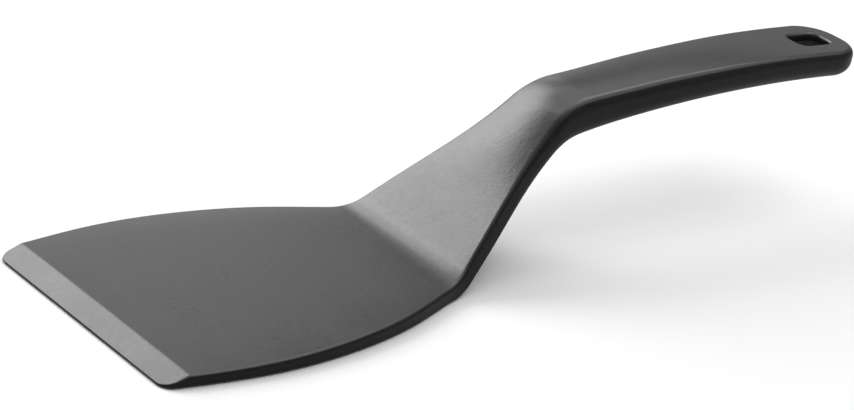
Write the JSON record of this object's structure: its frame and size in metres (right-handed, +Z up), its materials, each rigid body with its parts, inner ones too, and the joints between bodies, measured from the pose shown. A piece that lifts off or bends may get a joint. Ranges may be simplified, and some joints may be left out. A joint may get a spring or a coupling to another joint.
{
  "type": "angled turner",
  "caption": "Angled kitchen turner for lifting and flipping food: a wide bevelled blade on a tapered rising neck, with an arched rounded grip that ends in a hanging hole.",
  "frame": {"origin": "on the blade's flat underside, on the centre line, 60 mm behind the front edge", "axes": "+X from the front edge towards the end of the grip, +Z up out of the blade, +Y completes a right-handed set; the part is symmetric about Y = 0"},
  "size_m": [0.3001, 0.1044, 0.0552],
  "materials": {
    "body": "satin near-black glass-filled polyamide with a fine moulded grain",
    "core": "matt dark grey polyamide, unpolished where it shows inside the hanging hole"
  },
  "bodies": {
    "root": {"turner_body": "body", "handle_core": "core"}
  },
  "joints": []
}
